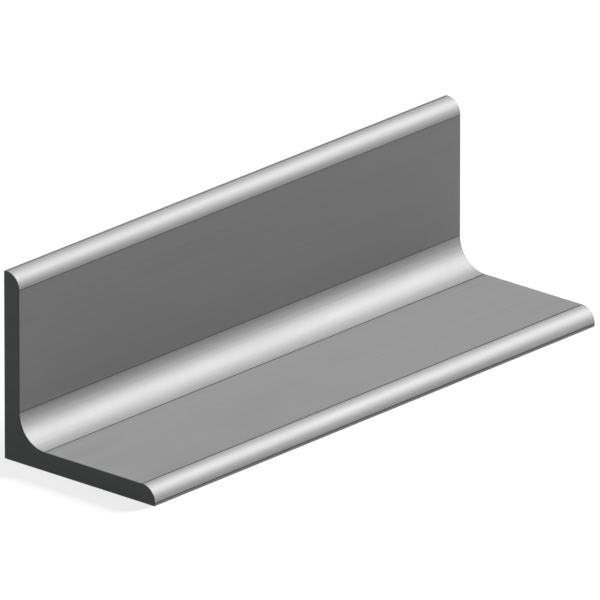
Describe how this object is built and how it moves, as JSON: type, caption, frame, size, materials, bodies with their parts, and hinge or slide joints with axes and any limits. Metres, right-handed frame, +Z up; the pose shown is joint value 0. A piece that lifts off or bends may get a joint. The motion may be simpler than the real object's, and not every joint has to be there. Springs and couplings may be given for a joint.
{
  "type": "metal angle section",
  "caption": "Short length of hot-rolled equal-leg steel angle with a rounded inside corner, rounded inner toe edges and square-cut ends, for brackets, edging and framing.",
  "frame": {"origin": "middle of the rectangle that the angle covers, on the surface it lies on", "axes": "+X along the rolled length; the flat leg lies on the surface and runs from the heel towards -Y; the upright leg stands at the back, its outer face towards +Y; +Z up"},
  "size_m": [0.1, 0.03, 0.03],
  "materials": {
    "rolled_steel": "matte"
  },
  "bodies": {
    "root": {"angle_section": "rolled_steel"}
  },
  "joints": []
}
